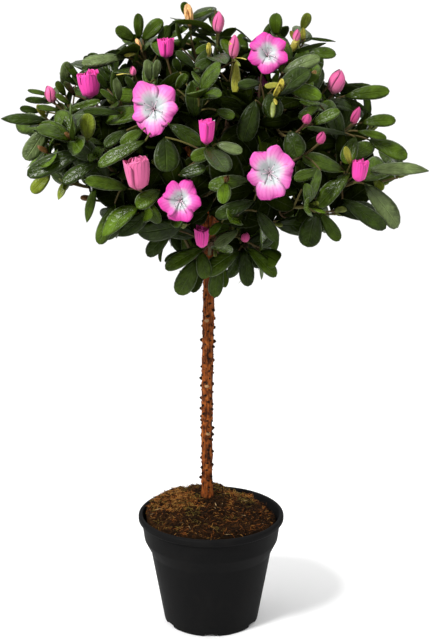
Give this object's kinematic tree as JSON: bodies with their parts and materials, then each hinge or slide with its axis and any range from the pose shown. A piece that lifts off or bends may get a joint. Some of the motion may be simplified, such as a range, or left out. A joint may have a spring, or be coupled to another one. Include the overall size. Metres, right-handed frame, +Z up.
{
  "type": "potted standard azalea",
  "caption": "Potted standard azalea: a bare stem, a wide dome of leafy twigs with open flowers and buds, in a round plastic pot.",
  "frame": {"origin": "centre of the pot's flat underside", "axes": "+Z up along the plant, -Y towards the side the picture shows, +X to the right in the picture"},
  "size_m": [0.4022, 0.3881, 0.6386],
  "materials": {
    "pot_plastic": "black moulded plastic, satin",
    "potting_peat": "fibrous peat with moss",
    "bark": "reddish brown bark with leaf scars",
    "foliage": "dark green leathery leaves, pink flowers and buds"
  },
  "bodies": {
    "root": {"bough_lower_1": "bark", "bough_lower_2": "bark", "bough_lower_3": "bark", "bough_lower_4": "bark", "bough_lower_5": "bark", "bough_lower_6": "bark", "bough_upper_1": "bark", "bough_upper_2": "bark", "bough_upper_3": "bark", "bough_upper_4": "bark", "foliage_lower_1": "foliage", "foliage_lower_2": "foliage", "foliage_lower_3": "foliage", "foliage_lower_4": "foliage", "foliage_lower_5": "foliage", "foliage_lower_6": "foliage", "foliage_top": "foliage", "foliage_under_1": "foliage", "foliage_under_2": "foliage", "foliage_under_3": "foliage", "foliage_upper_1": "foliage", "foliage_upper_2": "foliage", "foliage_upper_3": "foliage", "foliage_upper_4": "foliage", "pot": "pot_plastic", "root_ball": "potting_peat", "stem": "bark"}
  },
  "joints": []
}
